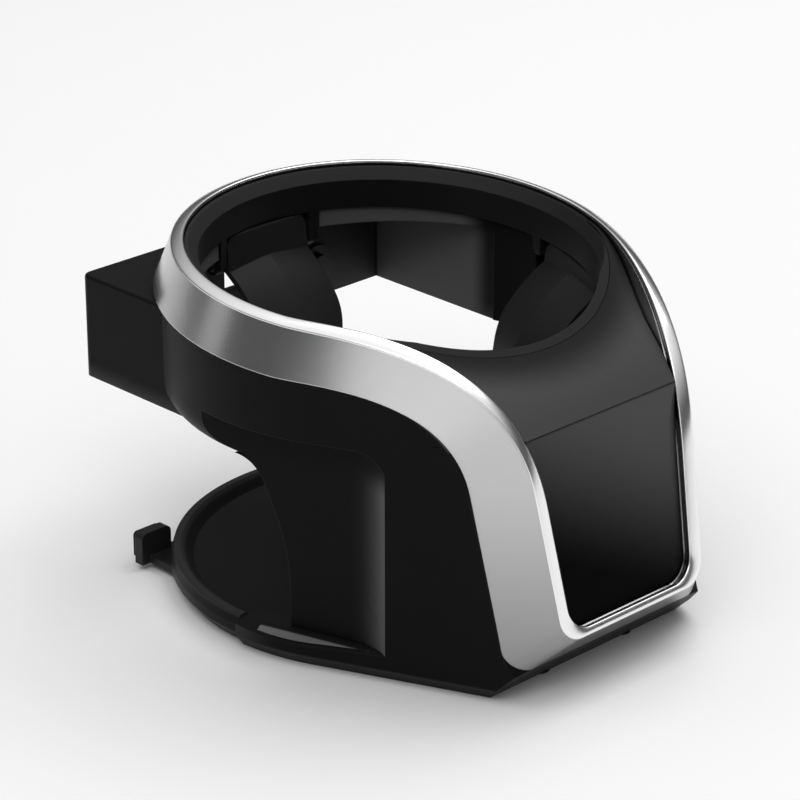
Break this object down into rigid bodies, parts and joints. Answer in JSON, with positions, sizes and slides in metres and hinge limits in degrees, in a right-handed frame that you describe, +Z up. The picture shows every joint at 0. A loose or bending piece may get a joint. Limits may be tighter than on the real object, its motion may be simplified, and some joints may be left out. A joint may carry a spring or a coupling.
{
  "type": "car cup holder",
  "caption": "Vent-mounted car cup holder: a tilted ring with sprung flaps over a foot tray, with a gloss front panel framed by a satin silver trim loop.",
  "frame": {"origin": "on the underside of the base, below the middle of the cup ring", "axes": "+Z up along the cup, -Y to the front panel, +X to the right seen from the front"},
  "size_m": [0.1, 0.1317, 0.0767],
  "materials": {
    "body_black": "fine moulded texture, satin black",
    "liner_black": "smooth matt black",
    "trim_silver": "satin silver plating with a bright facet",
    "panel_black": "piano black gloss",
    "flap_black": "satin black",
    "tray_black": "fine moulded texture, satin black",
    "cover_black": "matt black",
    "stay_black": "satin black",
    "clip_black": "satin black",
    "grip_rubber": "soft matt rubber",
    "pin_steel": "bright drawn steel",
    "screw_black": "black oxide"
  },
  "bodies": {
    "holder": {"main_body": "body_black", "ring_liner": "liner_black", "trim_frame": "trim_silver", "front_panel": "panel_black", "base_tray": "tray_black", "bottom_cover": "cover_black", "cover_screws": "screw_black", "body_screws": "screw_black", "flap_pin_rear": "pin_steel", "flap_spring_rear": "pin_steel", "flap_pin_left": "pin_steel", "flap_spring_left": "pin_steel", "flap_pin_right": "pin_steel", "flap_spring_right": "pin_steel"},
    "flap_rear": {"cup_flap_rear": "flap_black"},
    "flap_left": {"cup_flap_left": "flap_black"},
    "flap_right": {"cup_flap_right": "flap_black"},
    "stay": {"support_stay": "stay_black", "stay_pad_left": "grip_rubber", "stay_pad_right": "grip_rubber"},
    "clip_left": {"vent_clip_left": "clip_black", "clip_grip_left": "grip_rubber", "clip_screw_left": "screw_black"},
    "clip_right": {"vent_clip_right": "clip_black", "clip_grip_right": "grip_rubber", "clip_screw_right": "screw_black"}
  },
  "joints": [
    {"name": "flap_rear_hinge", "type": "hinge", "parent": "holder", "child": "flap_rear", "pos_m": [0, 0.0426, 0.0604], "axis": [1, 0, 0], "range_deg": [0, 32], "stiffness_Nm_per_rad": 0.012, "springref_deg": -34.38, "deforming": ["flap_spring_rear"]},
    {"name": "flap_left_hinge", "type": "hinge", "parent": "holder", "child": "flap_left", "pos_m": [-0.04052, -0.01316, 0.0604], "axis": [-0.309, 0.9511, 0], "range_deg": [0, 32], "stiffness_Nm_per_rad": 0.012, "springref_deg": -34.38, "deforming": ["flap_spring_left"]},
    {"name": "flap_right_hinge", "type": "hinge", "parent": "holder", "child": "flap_right", "pos_m": [0.04052, -0.01316, 0.0604], "axis": [-0.309, -0.9511, 0], "range_deg": [0, 32], "stiffness_Nm_per_rad": 0.012, "springref_deg": -34.38, "deforming": ["flap_spring_right"]},
    {"name": "stay_slide", "type": "slide", "parent": "holder", "child": "stay", "axis": [0, 1, 0], "range_m": [0, 0.02]},
    {"name": "clip_left_turn", "type": "hinge", "parent": "holder", "child": "clip_left", "pos_m": [-0.022, 0.051, 0.05], "axis": [0, 1, 0], "range_deg": [-90, 0]},
    {"name": "clip_right_turn", "type": "hinge", "parent": "holder", "child": "clip_right", "pos_m": [0.022, 0.051, 0.05], "axis": [0, 1, 0], "range_deg": [0, 90]}
  ]
}
